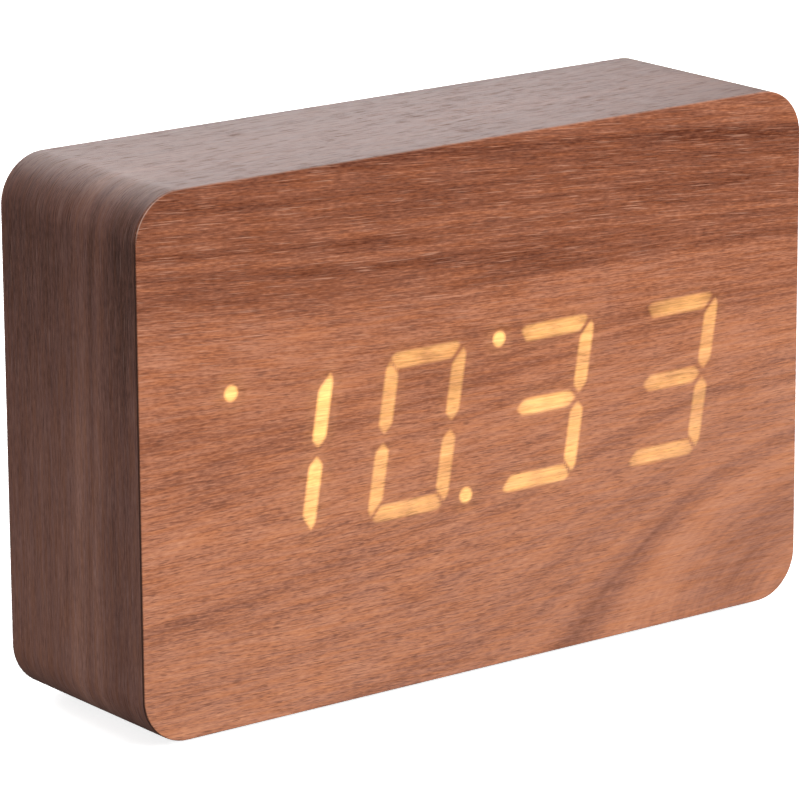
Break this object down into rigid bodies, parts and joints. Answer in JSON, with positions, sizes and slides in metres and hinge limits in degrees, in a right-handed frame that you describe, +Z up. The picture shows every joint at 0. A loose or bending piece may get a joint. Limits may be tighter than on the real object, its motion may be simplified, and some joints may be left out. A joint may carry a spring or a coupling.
{
  "type": "wooden alarm clock",
  "caption": "Table alarm clock in a veneered wooden case with rounded edges; its digital display shines through the front veneer, with keys, alarm slider, socket and battery bay behind.",
  "frame": {"origin": "on the table, under the middle of the case, at the underside of the foot pads", "axes": "+X to the right as seen from the front, +Y to the back (the display faces -Y), +Z up"},
  "size_m": [0.15, 0.042, 0.0995],
  "materials": {
    "fibreboard": "bare milled fibreboard",
    "walnut_veneer": "satin lacquered walnut",
    "pad_rubber": "matt",
    "white_plastic": "matt",
    "amber_lens": "diffusing resin",
    "led_chip": "clear resin",
    "circuit_board": "solder mask",
    "plated_steel": "zinc plated",
    "black_screw": "black oxide",
    "plated_brass": "nickel flash",
    "component_black": "moulded",
    "capacitor_sleeve": "shrunk sleeve",
    "ribbon_grey": "extruded",
    "cover_plastic": "fine spark texture",
    "cell_sleeve": "plain shrunk sleeve",
    "contact_nickel": "nickel plated",
    "lead_red": "extruded",
    "lead_black": "extruded",
    "key_plastic": "moulded satin"
  },
  "bodies": {
    "case": {"case_frame": "fibreboard", "front_board": "fibreboard", "front_veneer": "walnut_veneer", "wrap_veneer": "walnut_veneer", "rear_veneer": "walnut_veneer", "foot_pads": "pad_rubber", "display_reflector": "white_plastic", "digit_1_lenses": "amber_lens", "digit_2_lenses": "amber_lens", "digit_3_lenses": "amber_lens", "digit_4_lenses": "amber_lens", "dot_lenses": "amber_lens", "segment_leds": "led_chip", "display_board": "circuit_board", "display_screws": "plated_steel", "control_board": "circuit_board", "controller_chip": "component_black", "clock_crystal": "plated_steel", "smoothing_capacitor": "capacitor_sleeve", "buzzer": "component_black", "power_jack": "component_black", "jack_pin": "plated_brass", "tact_switches": "component_black", "alarm_switch_body": "plated_steel", "ribbon_cable": "ribbon_grey", "control_screws": "plated_steel", "rear_cover": "cover_plastic", "battery_tray": "cover_plastic", "rear_screws": "black_screw", "battery_cells": "cell_sleeve", "battery_contacts": "contact_nickel", "battery_springs": "contact_nickel", "battery_lead_red": "lead_red", "battery_lead_black": "lead_black"},
    "set_button": {"set_key": "key_plastic", "set_plunger": "component_black"},
    "down_button": {"down_key": "key_plastic", "down_plunger": "component_black"},
    "up_button": {"up_key": "key_plastic", "up_plunger": "component_black"},
    "alarm_slide": {"alarm_slider": "key_plastic"},
    "door": {"battery_door": "cover_plastic"}
  },
  "joints": [
    {"name": "set_press", "type": "slide", "parent": "case", "child": "set_button", "axis": [0, -1, 0], "range_m": [0, 0.0005], "stiffness_N_per_m": 800, "springref_m": -0.0005},
    {"name": "down_press", "type": "slide", "parent": "case", "child": "down_button", "axis": [0, -1, 0], "range_m": [0, 0.0005], "stiffness_N_per_m": 800, "springref_m": -0.0005},
    {"name": "up_press", "type": "slide", "parent": "case", "child": "up_button", "axis": [0, -1, 0], "range_m": [0, 0.0005], "stiffness_N_per_m": 800, "springref_m": -0.0005},
    {"name": "alarm_shift", "type": "slide", "parent": "case", "child": "alarm_slide", "axis": [1, 0, 0], "range_m": [0, 0.002]},
    {"name": "door_tilt", "type": "hinge", "parent": "case", "child": "door", "pos_m": [0, 0.0185, 0.0149], "axis": [-1, 0, 0], "range_deg": [0, 65]}
  ]
}
